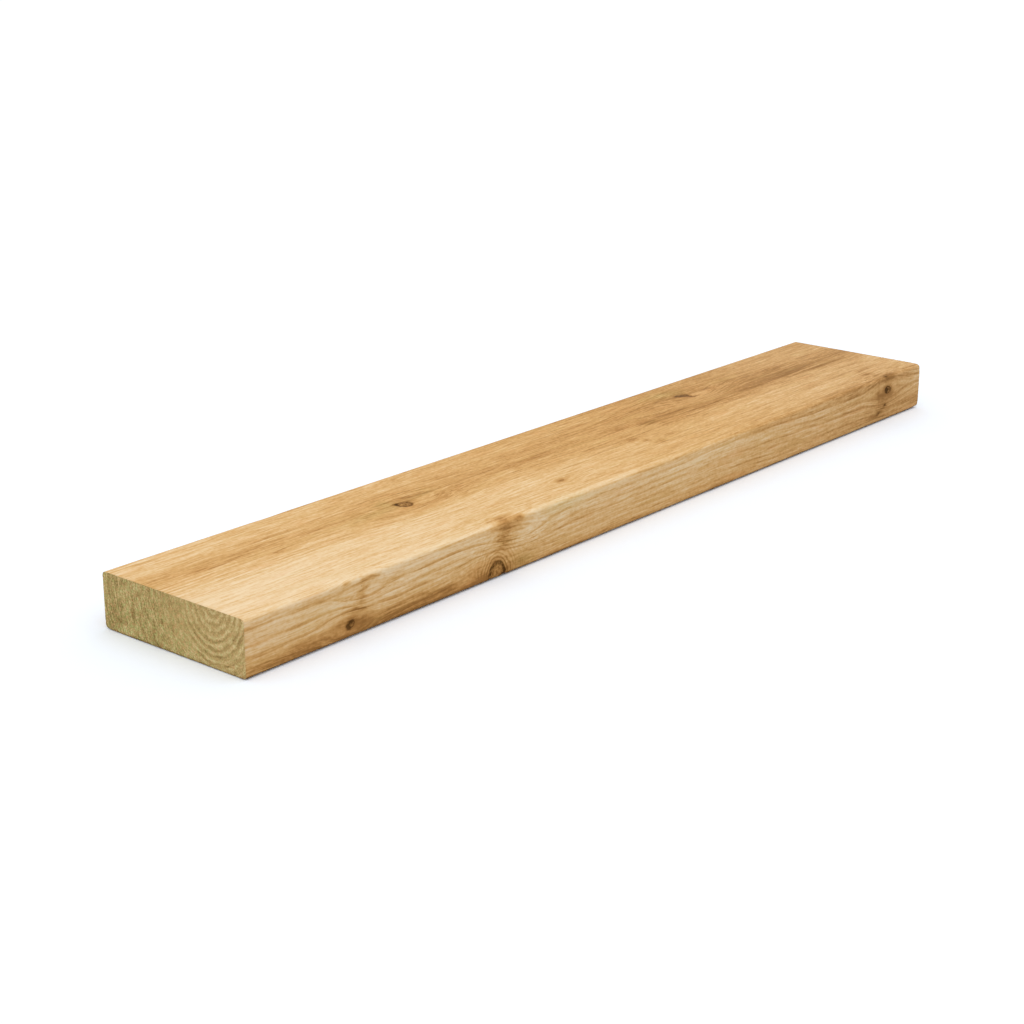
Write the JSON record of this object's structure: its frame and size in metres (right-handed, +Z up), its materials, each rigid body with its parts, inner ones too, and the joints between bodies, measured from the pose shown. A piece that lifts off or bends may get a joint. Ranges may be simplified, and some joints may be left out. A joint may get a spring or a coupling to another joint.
{
  "type": "timber plank",
  "caption": "Straight length of planed softwood with a rectangular section, lightly rounded long edges and square sawn ends, used to frame, deck or bear a load.",
  "frame": {"origin": "centre of the bottom face, where the plank rests on the floor", "axes": "+X along the grain, from the sawn end nearest the picture's camera to the far one; +Y across the width, from the narrow face that the picture shows to the hidden one; +Z up through the thickness"},
  "size_m": [0.92, 0.15, 0.045],
  "materials": {
    "softwood": "planed softwood with a light preservative tint, bare and matt"
  },
  "bodies": {
    "root": {"plank": "softwood"}
  },
  "joints": []
}
